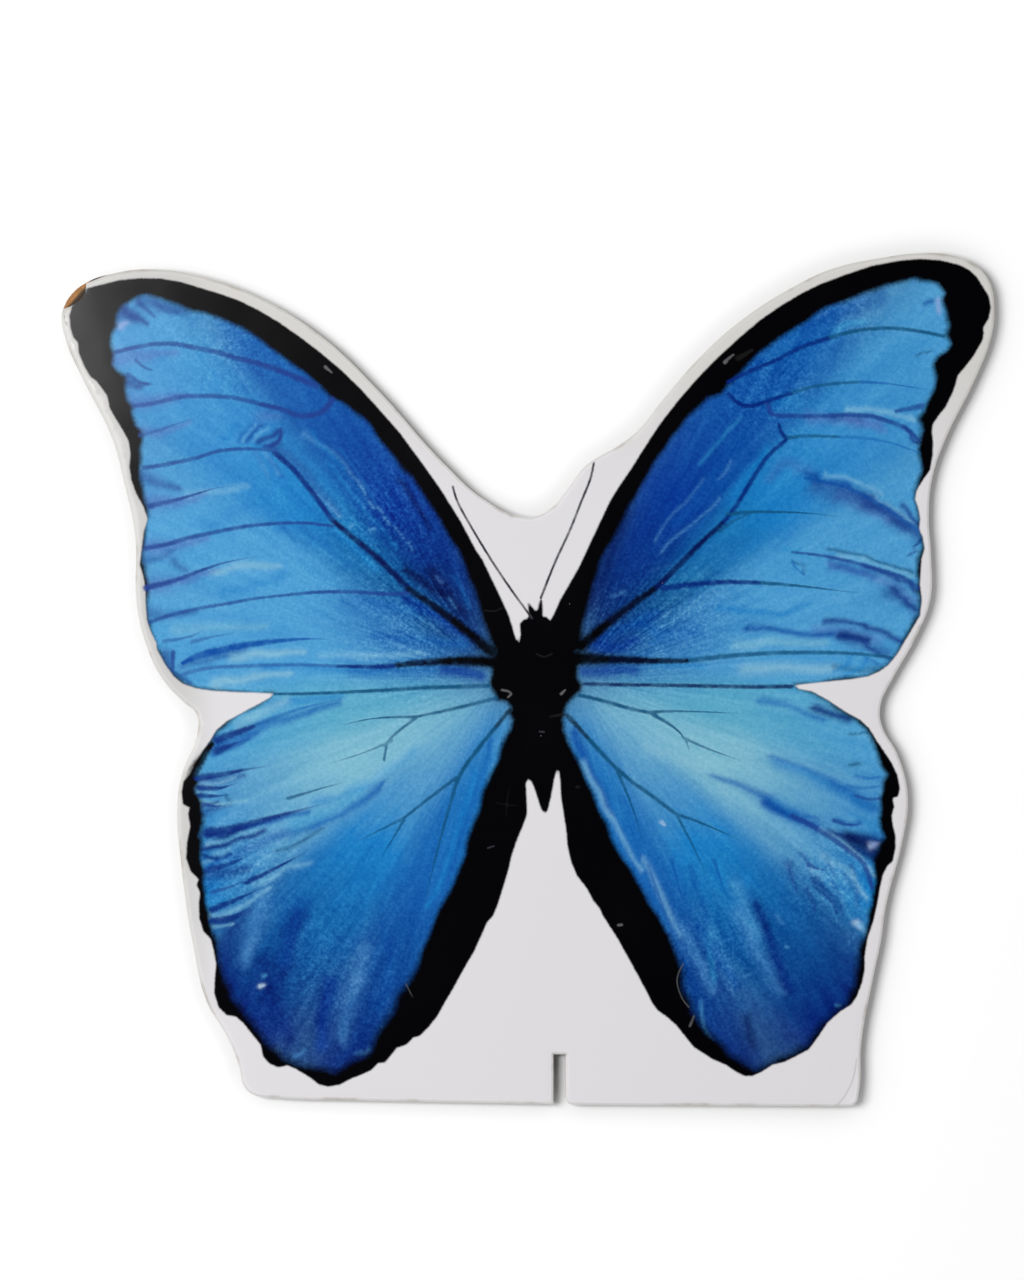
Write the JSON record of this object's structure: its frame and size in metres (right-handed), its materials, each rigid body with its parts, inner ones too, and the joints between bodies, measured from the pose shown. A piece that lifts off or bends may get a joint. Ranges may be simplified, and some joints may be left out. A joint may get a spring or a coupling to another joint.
{
  "type": "printed butterfly cut-out panel",
  "caption": "Flat butterfly-shaped fibreboard panel with a printed film on its face and an open slot in its bottom edge for a foot.",
  "frame": {"origin": "middle of the underside of the bounding box, on the panel's bare back", "axes": "+Z out of the printed face, +X to the right of somebody looking at the picture, +Y towards the butterfly's head end, away from the foot slot"},
  "size_m": [0.2332, 0.2134, 0.0035],
  "materials": {
    "fibreboard": "bare medium-density fibreboard, charred dark on its laser-cut edges",
    "printed_film": "glossy printed film, blue and black on a white border"
  },
  "bodies": {
    "root": {"board": "fibreboard", "printed_film": "printed_film"}
  },
  "joints": []
}
